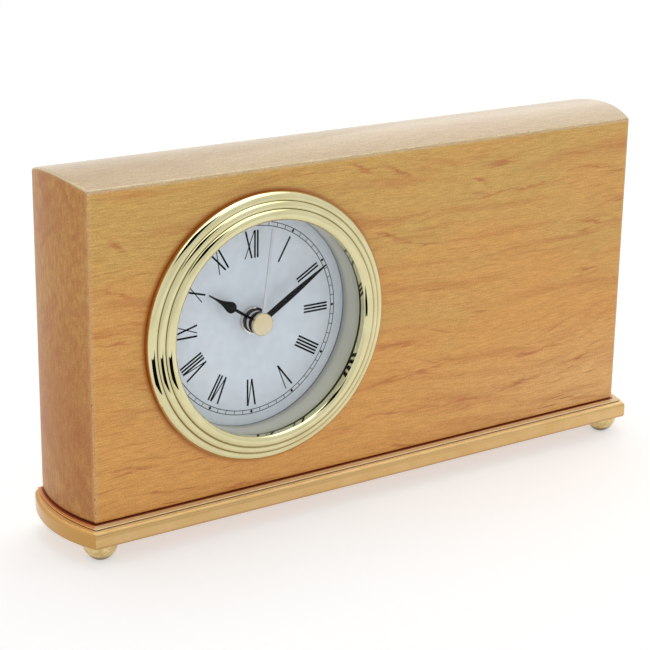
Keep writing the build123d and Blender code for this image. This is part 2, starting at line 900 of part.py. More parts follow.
case_pieces = {
    "wood_block": wood_block(),
    "base_plate": base_plate(),
    "base_screws": Part() + [Pos(x, y, 0) * base_screw() for x, y in screw_places],
}
for place, (x, y) in foot_places.items():
    case_pieces[f"foot_{place}"] = Pos(x, y, 0) * foot()

insert_makers = [
    bezel,
    lens,
    reflector_ring,
    dial,
    housing,
    grip_band,
    movement_front,
    movement_cover,
    dial_washer,
    dial_nut,
    hour_hand,
    minute_hand,
    second_hand,
    second_wheel,
    third_wheel,
    minute_wheel,
    minute_arbor,
    motion_wheel,
    hour_wheel,
    setting_knob,
    intermediate_wheel,
    rotor_pinion,
    rotor_magnet,
    stator,
    coil_bobbin,
    coil_winding,
    circuit_board,
    circuit_chip,
    quartz_crystal,
    battery,
    negative_contact,
    positive_contact,
    battery_door,
]

os.makedirs("parts", exist_ok=True)
for name, piece in case_pieces.items():
    export_step(piece, f"parts/{name}.step")
for maker in insert_makers:
    export_step(insert_frame.location * maker(), f"parts/{maker.__name__}.step")
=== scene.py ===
# %% [markdown]
# # A wooden desk clock
# A pale wooden block stands on a gilt moulding and holds a round push-in quartz clock. The solids of every
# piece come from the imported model, at their real size and place. This lesson gives each of them its finish,
# turns the polished bezel finely enough to mirror a room, prints the dial, and lights and frames the result.

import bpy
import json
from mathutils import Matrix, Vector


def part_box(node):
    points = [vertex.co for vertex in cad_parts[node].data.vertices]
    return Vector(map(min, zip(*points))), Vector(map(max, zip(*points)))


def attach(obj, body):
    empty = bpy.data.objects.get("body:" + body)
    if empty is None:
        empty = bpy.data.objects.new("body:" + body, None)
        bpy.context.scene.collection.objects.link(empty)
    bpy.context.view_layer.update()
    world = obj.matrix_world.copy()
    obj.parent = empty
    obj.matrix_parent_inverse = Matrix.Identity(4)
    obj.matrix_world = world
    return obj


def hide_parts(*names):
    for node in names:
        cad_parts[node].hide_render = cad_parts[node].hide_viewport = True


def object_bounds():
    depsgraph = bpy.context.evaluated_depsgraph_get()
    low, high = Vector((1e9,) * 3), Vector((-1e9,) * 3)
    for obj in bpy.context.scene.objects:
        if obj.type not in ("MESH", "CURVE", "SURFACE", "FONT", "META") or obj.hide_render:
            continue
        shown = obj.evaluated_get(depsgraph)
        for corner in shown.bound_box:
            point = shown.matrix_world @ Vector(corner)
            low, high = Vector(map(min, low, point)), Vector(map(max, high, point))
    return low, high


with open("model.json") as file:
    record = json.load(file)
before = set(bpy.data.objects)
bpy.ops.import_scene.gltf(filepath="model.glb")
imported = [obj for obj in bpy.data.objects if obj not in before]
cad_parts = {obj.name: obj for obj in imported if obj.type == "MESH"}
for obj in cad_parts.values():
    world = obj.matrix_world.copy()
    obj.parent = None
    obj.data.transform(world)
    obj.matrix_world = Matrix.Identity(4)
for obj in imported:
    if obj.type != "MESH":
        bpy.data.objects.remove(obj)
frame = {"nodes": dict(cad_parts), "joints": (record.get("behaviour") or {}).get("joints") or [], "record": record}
cad_low, cad_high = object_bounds()
print("CAD box in mm:", [round(1000 * side) for side in cad_high - cad_low])

# %% [markdown]
# Everything in the file is in metres, so a small unit for millimetres keeps the sizes readable. The dial's
# axis is read from the second hand's hinge, and the face of the wood from the block's own box, so nothing
# here has to be measured twice.

# %% Units and main places
import json
from math import atan2, cos, hypot, pi, radians, sin

import bmesh
import bpy
from mathutils import Matrix, Vector

MM = 0.001
hinges = {joint["name"]: joint for joint in frame["joints"]}
axis_x, _, axis_z = hinges["second_spin"]["pos_m"]
block_low, block_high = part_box("wood_block")
wood_front = block_low.y
dial_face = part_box("dial")[0].y
print("dial axis in mm:", round(axis_x / MM, 2), round(axis_z / MM, 2))
print("dial face in mm:", round(dial_face / MM, 2))

# %% [markdown]
# ## The camera
# The photograph looks down at the clock from its left. A camera could be placed by eye until the picture
# fits. Here its angles and its distance were solved from the corners of the block, the base and the bezel,
# so it is set from those few numbers. A long lens keeps the block's edges nearly parallel.

# %% Camera at the photograph's viewpoint
IMAGE_SIDE = 650
FOCAL_PIXELS = 1847.3
SENSOR = 36.0
CLIP_START, CLIP_END = 0.01, 50
CAMERA_PLACE = Vector((-313.1, -435.3, 219.3)) * MM
YAW, PITCH, ROLL = radians(34.827), radians(17.621), radians(0.828)

ahead = Vector((sin(YAW) * cos(PITCH), cos(YAW) * cos(PITCH), -sin(PITCH)))
level_right = Vector((cos(YAW), -sin(YAW), 0))
level_down = ahead.cross(level_right)
right = cos(ROLL) * level_right - sin(ROLL) * level_down
down = sin(ROLL) * level_right + cos(ROLL) * level_down

lens_data = bpy.data.cameras.new("photo_camera")
lens_data.sensor_width = SENSOR
lens_data.lens = FOCAL_PIXELS * SENSOR / IMAGE_SIDE
lens_data.clip_start = CLIP_START
lens_data.clip_end = CLIP_END
camera = bpy.data.objects.new("photo_camera", lens_data)
turn = Matrix((right, -down, -ahead)).transposed().to_4x4()
camera.matrix_world = Matrix.Translation(CAMERA_PLACE) @ turn
bpy.context.scene.collection.objects.link(camera)
bpy.context.scene.camera = camera
bpy.context.scene.view_settings.view_transform = "Standard"
print("lens", round(lens_data.lens, 1), "mm")

# %% [markdown]
# ## Building blocks for finishes
# A finish here is a small node tree: textures in the object's own coordinates drive the colour, the
# roughness and a little relief. Such trees can be drawn by hand in the shader editor. A few short helpers
# build the same nodes from a script and keep it readable. These first ones make a finish, add a node to it
# and join values to the shader.

# %% Helpers that build node trees
def srgb(red, green, blue):
    """A colour as it is read off a screen, turned into the linear values that shaders use."""
    def linear(level):
        share = level / 255
        return share / 12.92 if share <= 0.04045 else ((share + 0.055) / 1.055) ** 2.4
    return linear(red), linear(green), linear(blue), 1.0


def new_finish(name):
    """An empty finish with its main shader."""
    material = bpy.data.materials.new(name)
    material.use_nodes = True
    tree = material.node_tree
    return material, tree, tree.nodes["Principled BSDF"]


def add(tree, kind, inputs=None, **settings):
    """One node. Inputs are plain values or sockets of other nodes."""
    made = tree.nodes.new("ShaderNode" + kind)
    for key, value in settings.items():
        setattr(made, key, value)
    for key, value in (inputs or {}).items():
        if isinstance(value, bpy.types.NodeSocket):
            tree.links.new(value, made.inputs[key])
        else:
            made.inputs[key].default_value = value
    return made


def drive(tree, shader, **sockets):
    """Joins textures to the shader's sockets, and sets plain values on them."""
    for name, value in sockets.items():
        socket = shader.inputs[name.replace("_", " ").title().replace("Ior", "IOR")]
        if isinstance(value, bpy.types.NodeSocket):
            tree.links.new(value, socket)
        else:
            socket.default_value = value


WHITE = (1, 1, 1, 1)
print("a mid grey of 128 is", round(srgb(128, 128, 128)[0], 3), "in a shader")

# %% [markdown]
# The next helpers work on values: they do sums, stretch a range over another one, and mix colours. Most
# paint below comes from a share, a number from nought to one that says how much of a colour lies there.

# %% Helpers for shares and colours
def worked(tree, operation, first, second=0.0):
    """One sum on values or sockets."""
    return add(tree, "Math", {0: first, 1: second}, operation=operation).outputs[0]


def product(tree, first, *others):
    """Values multiplied together, so that all of the shares must hold."""
    for other in others:
        first = worked(tree, "MULTIPLY", first, other)
    return first


def largest(tree, first, *others):
    """The largest of some values, so that one of the shares must hold."""
    for other in others:
        first = worked(tree, "MAXIMUM", first, other)
    return first


def rest_of(tree, share):
    """What a share leaves of one."""
    return worked(tree, "SUBTRACT", 1.0, share)


def spread(tree, value, low, high, start=0.35, end=0.65):
    """A range of a value, as a rule a texture's middle one, stretched over that from low to high."""
    limits = {"Value": value, "From Min": start, "From Max": end, "To Min": low, "To Max": high}
    return add(tree, "MapRange", limits).outputs["Result"]


def between(tree, share, none, full):
    """A value that goes from none to full as the share goes from nought to one."""
    return spread(tree, share, none, full, 0.0, 1.0)


def blended(tree, share, first, second, mode="MIX"):
    """Two colours mixed by a share, which may vary over the surface."""
    mixer = add(tree, "Mix", {0: share, 6: first, 7: second}, data_type="RGBA", blend_type=mode)
    return mixer.outputs[2]


print("helpers for shares ready")

# %% [markdown]
# The last helpers make the textures. Object coordinates are used, and not an unwrapped image, because they
# are real metres: a grain of half a millimetre can be written as just that, and it runs through a piece as
# the grain of wood does. Stretching the noise along one axis turns clouds into fibres or polishing lines.

# %% Helpers for textures
def place_of(tree):
    """The X, Y and Z of each place on a piece."""
    return add(tree, "SeparateXYZ", {0: add(tree, "TexCoord").outputs["Object"]}).outputs


def facing_of(tree):
    """The X, Y and Z of the direction that the surface faces."""
    return add(tree, "SeparateXYZ", {0: add(tree, "TexCoord").outputs["Normal"]}).outputs


def grain(tree, size, stretch=(1, 1, 1), detail=3.0, place=None, lean=0.0):
    """Cloudy noise of blobs about size metres long, drawn out along each axis and leaning round X."""
    place = place or add(tree, "TexCoord").outputs["Object"]
    blob = tuple(size * share for share in stretch)
    frame_of_blobs = {"Vector": place, "Scale": blob, "Rotation": (lean, 0, 0)}
    mapped = add(tree, "Mapping", frame_of_blobs, vector_type="TEXTURE")
    settings = {"Vector": mapped.outputs[0], "Scale": 1.0, "Detail": detail}
    return add(tree, "TexNoise", settings).outputs["Fac"]


def clouds(tree, size):
    """Soft patches about size metres wide, as a share."""
    return spread(tree, grain(tree, size), 0.0, 1.0)


def relief(tree, shader, height, depth, strength):
    """Fine relief on the surface, depth metres high."""
    made = add(tree, "Bump", {"Height": height, "Distance": depth, "Strength": strength})
    tree.links.new(made.outputs["Normal"], shader.inputs["Normal"])


print("helpers for textures ready")

# %% [markdown]
# ## Floor and room
# The clock is photographed on a white light table in a white tent. The floor is a large pale sheet that
# catches the soft shadow and also glows, as such a table does, so it reads as white and lights the clock
# from below. A photographed room could light the scene as well, but a plain tent can be tuned with a few
# numbers.

# %% Floor
FLOOR_HALF = 4.0
FLOOR_GLOW = 0.52
PAPER_GRAIN = 2 * MM


def floor_finish():
    material, tree, shader = new_finish("pale_floor")
    colour = blended(tree, clouds(tree, PAPER_GRAIN), srgb(220, 220, 220), srgb(224, 224, 224))
    drive(tree, shader, base_color=colour, roughness=0.9, specular_ior_level=0.0)
    drive(tree, shader, emission_color=WHITE, emission_strength=FLOOR_GLOW)
    return material


floor_mesh = bpy.data.meshes.new("floor")
corners = [(-FLOOR_HALF, -FLOOR_HALF, 0), (FLOOR_HALF, -FLOOR_HALF, 0)]
corners += [(FLOOR_HALF, FLOOR_HALF, 0), (-FLOOR_HALF, FLOOR_HALF, 0)]
floor_mesh.from_pydata(corners, [], [(0, 1, 2, 3)])
floor = bpy.data.objects.new("floor", floor_mesh)
floor.data.materials.append(floor_finish())
bpy.context.scene.collection.objects.link(floor)
print("floor", 2 * FLOOR_HALF, "m wide")

# %% [markdown]
# The tent is dimmer in front and to the left, and lights less from above than from the sides. Metal and
# glass see a plain white room with a bright roof instead, and the camera sees pure white. Light Path tells
# these rays apart. Light that passes the lens on its way to the dial counts as soft light again.

# %% Room
SIDE_FILL = 1.32
TOP_FILL = 0.4
FRONT_LEVEL = 0.84
LEFT_FILL = 0.7
ROOF_LEVEL = 2.5


def seen_rays(tree):
    """One for rays that show the room itself: from the camera, off metal and through glass."""
    path = add(tree, "LightPath").outputs
    in_view = worked(tree, "LESS_THAN", path["Diffuse Depth"], 0.5)
    through = product(tree, path["Is Transmission Ray"], in_view)
    return largest(tree, path["Is Camera Ray"], path["Is Glossy Ray"], through)


room = bpy.data.worlds.new("white_tent")
room.use_nodes = True
bpy.context.scene.world = room
air = room.node_tree
heading = add(air, "SeparateXYZ", {0: add(air, "TexCoord").outputs["Generated"]}).outputs
from_left = spread(air, heading["X"], LEFT_FILL, 1.0, -0.8, 0.1)
from_front = spread(air, heading["Y"], FRONT_LEVEL, 1.0, -0.9, 0.2)
from_above = spread(air, heading["Z"], SIDE_FILL, TOP_FILL, 0.1, 0.8)
mirrored = spread(air, heading["Z"], 1.0, ROOF_LEVEL, 0.7, 0.84)
soft = product(air, from_left, from_above)
lit = product(air, from_front, between(air, seen_rays(air), soft, mirrored))
shown = largest(air, lit, add(air, "LightPath").outputs["Is Camera Ray"])
background = air.nodes["Background"].inputs
background["Color"].default_value = WHITE
air.links.new(shown, background["Strength"])
print("fill from the sides", SIDE_FILL, "and from above", TOP_FILL)

# %% [markdown]
# Two square lamps shape the soft light. One hangs above and brightens the top of the block, and a larger
# one stands behind on the right and throws the faint shadow towards the viewer.

# %% Lamps
def softbox(name, place, power, side):
    """A square lamp that looks at the middle of the clock."""
    lamp = bpy.data.lights.new(name, "AREA")
    lamp.energy = power
    lamp.size = side
    holder = bpy.data.objects.new(name, lamp)
    holder.location = place
    middle = (cad_low + cad_high) / 2
    holder.rotation_euler = (middle - holder.location).to_track_quat("-Z", "Y").to_euler()
    bpy.context.scene.collection.objects.link(holder)


softbox("overhead_lamp", Vector((0.1, 0.2, 0.95)), power=1.9, side=0.55)
softbox("back_lamp", Vector((1.05, 0.75, 0.75)), power=1.7, side=1.0)
print("lamps:", [lamp.name for lamp in bpy.data.lights])

# %% [markdown]
# A polished ring in a white room looks flat, so photographers hold up black cards, called flags, for it to
# mirror. These two show only in reflections: the camera, the shadows and the soft light pass through them.

# %% Black cards for the bezel to mirror
CARD_WEAVE = 1 * MM


def flag_finish(name):
    material, tree, shader = new_finish(name)
    colour = blended(tree, clouds(tree, CARD_WEAVE), srgb(8, 8, 8), srgb(14, 14, 14))
    drive(tree, shader, base_color=colour, roughness=1.0, specular_ior_level=0.0)
    return material


def flag(name, azimuth, elevation, distance, width, height):
    """A black card that faces the dial's middle, placed by its direction from there."""
    aim = Vector((axis_x, wood_front, axis_z))
    out = Vector((sin(azimuth) * cos(elevation), -cos(azimuth) * cos(elevation), sin(elevation)))
    across = Vector((cos(azimuth), sin(azimuth), 0)) * width / 2
    up = out.cross(across).normalized() * height / 2
    middle = aim + out * distance
    mesh = bpy.data.meshes.new(name)
    corners = [middle - across - up, middle + across - up, middle + across + up, middle - across + up]
    mesh.from_pydata(corners, [], [(0, 1, 2, 3)])
    mesh.materials.append(flag_finish(name))
    card = bpy.data.objects.new(name, mesh)
    for ray in ("camera", "diffuse", "transmission", "volume_scatter", "shadow"):
        setattr(card, "visible_" + ray, False)
    bpy.context.scene.collection.objects.link(card)
    print(name, "from", [round(value, 3) for value in corners[0]], "m")


flag("high_flag", radians(-36), radians(50), distance=0.55, width=0.34, height=0.3)
flag("low_flag", radians(-36), radians(-26), distance=0.1, width=0.085, height=0.028)

# %% [markdown]
# ## Places on the block
# The block's top and ends are bowed across its depth, its edges are eased, and the bezel sits on its front.
# The paint of the wood and of the base follows these forms, so their measures come first, each as a small
# piece of node tree: how far a bowed face has fallen back, and how far a place is from the dial's axis.

# %% Measures on the block
TOP_BOW = 2.6 * MM
END_BOW = 3.0 * MM
EASE = 0.8 * MM
block_middle = (block_low.y + block_high.y) / 2
block_half_depth = (block_high.y - block_low.y) / 2
bezel_low, bezel_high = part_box("bezel")
bezel_radius = (bezel_high.x - bezel_low.x) / 2


def bow_at(tree, depth, bow):
    """How far a bowed face has fallen back at this depth. It is nothing in the middle of the block."""
    from_middle = worked(tree, "SUBTRACT", depth, block_middle)
    across = worked(tree, "MULTIPLY", from_middle, 1 / block_half_depth)
    return product(tree, across, across, bow)


def dial_radius(tree):
    """How far a place is from the dial's axis."""
    place = place_of(tree)
    squares = []
    for axis, middle in (("X", axis_x), ("Z", axis_z)):
        from_axis = worked(tree, "SUBTRACT", place[axis], middle)
        squares.append(worked(tree, "MULTIPLY", from_axis, from_axis))
    return worked(tree, "SQRT", worked(tree, "ADD", *squares))


print("block in mm:", [round(side / MM, 1) for side in block_high - block_low])
print("bezel radius in mm:", round(bezel_radius / MM, 2))

# %% [markdown]
# ## Streaks in the wood
# The block is a flat-sawn piece of alder. Its front is calm and shows a few reddish streaks drawn out along
# the block. Noise can give streaks like these, but not where they are on this block. So the ones that stand
# out are placed: each is a long ellipse, given by its middle, its length, its thickness and its slope. A fine
# noise lifts the places before they are measured, which makes the ellipses ragged.

# %% Streaks that stand out
STREAK = srgb(194, 108, 52)
STREAK_DEPTH = 0.75
RAGGED = 0.9 * MM
STREAKS = (
    (6, 45.8, 15, 1.5, -0.03), (2, 80, 14, 1.4, -0.3), (14, 76.3, 16, 1.0, -0.18),
    (-8, 101.5, 10, 1.5, -0.5), (5, 99.2, 12, 1.5, -0.5), (45, 97, 17, 1.9, 0.02),
    (36, 93, 7, 1.0, -0.4), (79, 71.3, 8, 1.5, 0.0), (82, 58, 12, 1.0, 0.0),
    (84, 73.8, 24, 1.0, -0.12), (8, 23.9, 34, 0.8, -0.05), (30, 22.8, 22, 0.9, -0.02),
    (55, 24.3, 26, 0.8, 0.07), (80, 28.3, 13, 1.2, 0.12), (10, 35.2, 38, 1.1, 0.1),
    (-85, 25.2, 18, 1.0, -0.1), (-78, 16.8, 17, 0.8, -0.14), (-50, 12.6, 24, 0.8, -0.05),
    (-88, 76.6, 14, 1.3, -0.28), (-88, 89.5, 6, 1.8, -0.6), (-89, 62.4, 10, 1.2, -0.1),
    (86, 91, 14, 1.0, -0.1), (50, 88.2, 50, 0.8, 0.04), (62, 34, 30, 0.9, 0.06),
)


def lifted_place(tree, lift):
    """Places in the wood, each moved up by its own lift."""
    place = add(tree, "TexCoord").outputs["Object"]
    upwards = add(tree, "CombineXYZ", {"Z": lift}).outputs[0]
    return add(tree, "VectorMath", {0: place, 1: upwards}, operation="ADD").outputs[0]


def strong_streaks(tree):
    """The streaks that stand out, each a long ellipse with a ragged edge."""
    ragged = spread(tree, grain(tree, RAGGED, (7, 3, 1)), -RAGGED, RAGGED, 0.3, 0.7)
    place = lifted_place(tree, ragged)
    share = 0.0
    for x, z, length, thickness, slope in STREAKS:
        ellipse = {"Vector": place, "Location": (x * MM, 0, z * MM)}
        ellipse["Rotation"] = (0, -atan2(slope, 1), 0)
        ellipse["Scale"] = (length / 2 * MM, 1.0, thickness / 2 * MM)
        inside = add(tree, "Mapping", ellipse, vector_type="TEXTURE").outputs[0]
        reach = add(tree, "VectorMath", {0: inside}, operation="LENGTH").outputs["Value"]
        share = largest(tree, share, spread(tree, reach, STREAK_DEPTH, 0.0, 0.1, 1.25))
    return share


print("streaks placed:", len(STREAKS))

# %% [markdown]
# ## Long grain
# The faces along the block are golden above, more orange below and paler at the lower right. Everything
# finer is noise in long, thin blobs: soft bands, and between the placed streaks many faint ones. Only the
# peaks of the noise are kept, so each streak is short and stands alone. The heights wander slowly, as fibres
# do, and so do the fine dark lines near the foot.

# %% Colour of the long grain
TAN = srgb(222, 178, 98)
ORANGE_TAN = srgb(233, 171, 91)
PALE_TAN = srgb(242, 192, 126)
FINE_LINE = srgb(150, 84, 38)
WANDER = 5 * MM
DRIFT = 22 * MM


def face_colour(tree, along, height):
    """Warm tan with soft bands, sparse reddish streaks and a few fine lines near the foot."""
    drift = spread(tree, grain(tree, 16 * MM, (2.4, 1, 1), 2.0), -DRIFT, DRIFT)
    golden = spread(tree, worked(tree, "ADD", height, drift), 0.0, 1.0, 40 * MM, 105 * MM)
    colour = blended(tree, golden, ORANGE_TAN, TAN)
    to_the_right = spread(tree, along, 0.0, 0.6, 0.0, 80 * MM)
    low_down = spread(tree, height, 1.0, 0.0, 24 * MM, 44 * MM)
    colour = blended(tree, product(tree, to_the_right, low_down), colour, PALE_TAN)

    wander = spread(tree, grain(tree, 45 * MM, (1.6, 1, 0.8), 1.0), -WANDER, WANDER, 0.3, 0.7)
    wavy = lifted_place(tree, wander)
    bands = spread(tree, grain(tree, 3.2 * MM, (12, 3, 1), 2.0, wavy), 0.0, 0.4, 0.5, 0.74)
    colour = blended(tree, bands, colour, STREAK)
    faint = spread(tree, grain(tree, 0.9 * MM, (16, 3, 1), 2.0, wavy), 0.0, 0.6, 0.6, 0.74)
    patches = spread(tree, grain(tree, 22 * MM, (1.8, 1, 1), 2.0), 0.25, 1.0, 0.42, 0.6)
    colour = blended(tree, product(tree, faint, patches), colour, STREAK)
    colour = blended(tree, strong_streaks(tree), colour, STREAK)
    lines = spread(tree, grain(tree, 0.6 * MM, (34, 3, 1), 1.0, wavy), 0.0, 0.75, 0.68, 0.75)
    near_foot = spread(tree, height, 1.0, 0.2, 24 * MM, 40 * MM)
    return blended(tree, product(tree, lines, near_foot), colour, FINE_LINE)


print("long grain from", round(block_low.z / MM, 2), "to", round(block_high.z / MM, 2), "mm")

# %% [markdown]
# ## End grain
# The two ends cut across the fibres. They are rosy, mottled and redder in their lower half, and broad bands
# slant over them both ways. The same noise serves, now drawn out in the plane of the end and leaning.

# %% Colour of the end grain
END_TAN = srgb(211, 161, 87)
END_ROSE = srgb(197, 132, 73)
END_BAND = srgb(186, 114, 60)
BAND_LEANS = ((radians(-40), 7 * MM), (radians(48), 8 * MM))


def end_colour(tree, height):
    """Mottled rose and tan, redder below, with broad bands that slant both ways."""
    mottle = spread(tree, grain(tree, 0.9 * MM, (1, 1, 3)), 0.0, 1.0)
    colour = blended(tree, mottle, END_TAN, END_ROSE)
    below = spread(tree, height, 0.4, 0.0, 40 * MM, 75 * MM)
    off_foot = spread(tree, height, 0.0, 1.0, 16 * MM, 32 * MM)
    colour = blended(tree, product(tree, below, off_foot), colour, END_BAND)
    for lean, size in BAND_LEANS:
        band = spread(tree, grain(tree, size, (1, 3.2, 0.7), 2.0, lean=lean), 0.0, 0.6, 0.5, 0.72)
        colour = blended(tree, band, colour, END_BAND)
    return colour


print("end grain in", len(BAND_LEANS), "leaning sets of bands")

# %% [markdown]
# ## Painted highlights on the edges and a paler top
# The edges are painted paler, a painted highlight, with a brighter painted highlight along the top edges and a few
# dark nicks, and the top is painted paler, a painted sheen. An edge is found by its normal, which faces no side
# squarely. The strips beside it are found by their distance. This could be painted by hand in texture paint, but
# would then need an image.

# %% Colour of the edges and the top
# The paler edges and the bright top edges are painted highlights.
EDGE_HIGHLIGHT = srgb(230, 186, 138)
# The paler top is a painted sheen.
TOP_SHEEN = srgb(226, 210, 182)
TOP_CREST_HIGHLIGHT = srgb(252, 232, 188)
NICK = srgb(70, 34, 18)


def edge_highlights_and_nicks(tree, colour, place, facing, at_end, in_front):
    """The colour with a painted highlight on the edges, a painted sheen on the top, a brighter painted highlight
    along the top edges and a few nicks laid over it.
    """
    sides = [worked(tree, "ABSOLUTE", facing[axis]) for axis in "XYZ"]
    at_edge = spread(tree, largest(tree, *sides), 0.6, 0.0, 0.8, 0.97)
    corner = block_high.x - END_BOW
    outwards = worked(tree, "ABSOLUTE", place["X"])
    beside = spread(tree, outwards, 0.0, 0.3, corner - 1.5 * EASE, corner - EASE)
    inwards = worked(tree, "SUBTRACT", place["Y"], block_low.y)
    round_it = spread(tree, inwards, 0.3, 0.0, EASE, 1.5 * EASE)
    # A painted highlight on the eased edges and on the strips beside them.
    edge_highlight = largest(tree, at_edge, product(tree, in_front, beside), product(tree, at_end, round_it))
    colour = blended(tree, edge_highlight, colour, EDGE_HIGHLIGHT)

    # A painted sheen makes the top paler.
    raised = worked(tree, "ADD", place["Z"], bow_at(tree, place["Y"], TOP_BOW))
    below_top = worked(tree, "SUBTRACT", block_high.z, raised)
    near_top = spread(tree, below_top, 0.8, 0.0, 0.25 * EASE, 1.7 * EASE)
    flatter = spread(tree, facing["Z"], 1.0, 0.62, 0.6, 0.95)
    pale = product(tree, near_top, flatter, between(tree, at_end, 1.0, 0.3))
    colour = blended(tree, pale, colour, TOP_SHEEN)
    # A painted highlight along the top edges.
    crest = product(tree, at_edge, spread(tree, facing["Z"], 0.0, 1.6, 0.15, 0.5))
    colour = blended(tree, crest, colour, TOP_CREST_HIGHLIGHT)
    nicks = spread(tree, grain(tree, 0.8 * MM, (1, 1, 1.6), 1.0), 0.0, 1.0, 0.68, 0.74)
    return blended(tree, product(tree, nicks, at_edge), colour, NICK)


print("edges eased by", round(EASE / MM, 2), "mm")

# %% [markdown]
# ## Lacquer and painted shade
# Fine fibres and specks lie over all the wood. A dark red painted shade runs along the foot, and a painted shadow
# darkens the wood round the bezel. The lacquer itself is the shader's clear coat: thin on the ends, which soak it
# up, and missing along the painted shade at the foot. The fibres also stand out a little under it.

# %% The wood's finish
# A painted dark red shade along the block's foot.
FOOT_SHADE = srgb(84, 8, 2)
# A painted shadow on the wood round the bezel.
BEZEL_SHADOW = srgb(172, 94, 36)
FOOT_SHADE_HEIGHT = 0.66 * MM
END_FOOT_SHADE_HEIGHT = 1.1 * MM
BEZEL_SHADOW_WIDTH = 1.3 * MM
FIBRE = 0.26 * MM
FIBRE_TONES = ((0.835, 0.8, 0.72, 1), (1.025, 1.03, 1.04, 1))
SPECK_TONES = ((0.82, 0.785, 0.71, 1), (1.02, 1.025, 1.03, 1))


def wood_finish():
    material, tree, shader = new_finish("lacquered_alder")
    place, facing = place_of(tree), facing_of(tree)
    at_end = spread(tree, worked(tree, "ABSOLUTE", facing["X"]), 0.0, 1.0, 0.55, 0.85)
    in_front = spread(tree, facing["Y"], 1.0, 0.0, -0.9, -0.5)
    long_grain = face_colour(tree, place["X"], place["Z"])
    colour = blended(tree, at_end, long_grain, end_colour(tree, place["Z"]))
    colour = edge_highlights_and_nicks(tree, colour, place, facing, at_end, in_front)

    fibres = grain(tree, FIBRE, (16, 1.2, 1), 2.0)
    specks = grain(tree, FIBRE, (2, 1, 1), 1.0)
    for texture, (dark, light) in ((fibres, FIBRE_TONES), (specks, SPECK_TONES)):
        shade = blended(tree, spread(tree, texture, 0.0, 1.0), dark, light)
        colour = blended(tree, 1.0, colour, shade, "MULTIPLY")

    # Painted shadow on the wood round the bezel.
    bezel_shadow = spread(tree, dial_radius(tree), 0.8, 0.0, bezel_radius, bezel_radius + BEZEL_SHADOW_WIDTH)
    colour = blended(tree, product(tree, bezel_shadow, in_front), colour, BEZEL_SHADOW)
    above_foot = worked(tree, "SUBTRACT", place["Z"], block_low.z)
    # Painted shade along the foot, where the coat is left off too.
    foot_shade_top = between(tree, at_end, FOOT_SHADE_HEIGHT, END_FOOT_SHADE_HEIGHT)
    foot_shaded = spread(tree, worked(tree, "DIVIDE", above_foot, foot_shade_top), 1.0, 0.0, 0.5, 1.0)
    colour = blended(tree, foot_shaded, colour, FOOT_SHADE)

    on_top = spread(tree, facing["Z"], 0.0, 0.3, 0.5, 0.9)
    coat = worked(tree, "ADD", between(tree, at_end, 0.35, 0.04), on_top)
    coat = product(tree, rest_of(tree, foot_shaded), coat)
    drive(tree, shader, base_color=colour, roughness=spread(tree, fibres, 0.4, 0.5))
    drive(tree, shader, specular_ior_level=0.25, coat_weight=coat, coat_roughness=0.16)
    relief(tree, shader, fibres, 0.02 * MM, 0.3)
    return material


finishes = {"wood": wood_finish()}
print("wood nodes:", len(finishes["wood"].node_tree.nodes))

# %% [markdown]
# ## The gilt base
# The moulding has a narrow flat land round the block, a small riser with painted shade in the groove at its foot,
# and a half-round bead of satin gilt. One gold shader for all of it would look flat. So the bead's gilt goes by
# height and facing: a painted olive reflection above, darker along the lower edge, and a painted warm reflection
# of the wood at the ends.

# %% Metal of the base's bead
BASE_GILT = (srgb(210, 175, 117), srgb(217, 183, 129))
# The olive above is a painted reflection.
OLIVE_REFLECTION = srgb(194, 160, 106)
LOW_GILT = srgb(176, 130, 78)
# The warmer ends are a painted reflection of the wood.
END_WOOD_REFLECTION = srgb(190, 146, 84)
GILT_PATCH = 9 * MM
base_low, base_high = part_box("base_plate")


def standing_share(tree, facing):
    """One where a face of the base stands upright."""
    return spread(tree, facing["Z"], 1.0, 0.0, 0.3, 0.6)


def bead_colour(tree, place, facing, wood_reflection):
    """Satin gilt with a painted olive reflection above, darker along the lower edge, and a painted warm reflection
    of the wood at the ends.
    """
    colour = blended(tree, clouds(tree, GILT_PATCH), *BASE_GILT)
    from_below = worked(tree, "SUBTRACT", place["Z"], base_low.z)
    upper = spread(tree, from_below, 0.0, 0.8, 3.0 * MM, 3.6 * MM)
    to_the_left = spread(tree, place["X"], 1.0, 0.2, -30 * MM, 70 * MM)
    # A painted olive reflection on the upper bead, fading to the right.
    olive_reflection = product(tree, upper, to_the_left, standing_share(tree, facing))
    colour = blended(tree, olive_reflection, colour, OLIVE_REFLECTION)
    lower = spread(tree, from_below, 0.9, 0.0, 0.25 * MM, 1.1 * MM)
    colour = blended(tree, lower, colour, LOW_GILT)
    # A painted warm reflection of the wood on the ends.
    at_end = spread(tree, worked(tree, "ABSOLUTE", facing["X"]), 0.0, 0.9, 0.3, 0.8)
    return blended(tree, largest(tree, at_end, wood_reflection), colour, END_WOOD_REFLECTION)


print("base in mm:", [round(side / MM, 2) for side in base_high - base_low])

# %% [markdown]
# The land, the step under it and its lip are painted pale, a painted sheen. They are told apart by their height
# and by whether they lie flat or stand, and are painted matt, because a mirror there would show only the dark foot
# of the block. The painted shade at the block's foot runs a little way onto the land, and at the left end the
# land, the step, the groove and the bead take a painted warm reflection of the end's wood.

# %% Paint of the land, and the base's whole finish
# A painted pale sheen on the land, the step and the lip, and warm painted reflections of the end's wood.
PALE_SHEEN = srgb(255, 226, 174)
STEP_WOOD_REFLECTION = srgb(255, 196, 118)
LAND_WOOD_REFLECTION = srgb(255, 162, 86)
# Painted shade in the groove at the riser's foot, warmer at the left end as a painted reflection of the wood.
GROOVE_SHADE = srgb(114, 68, 24)
GROOVE_SHADE_WOOD_REFLECTION = srgb(92, 36, 6)
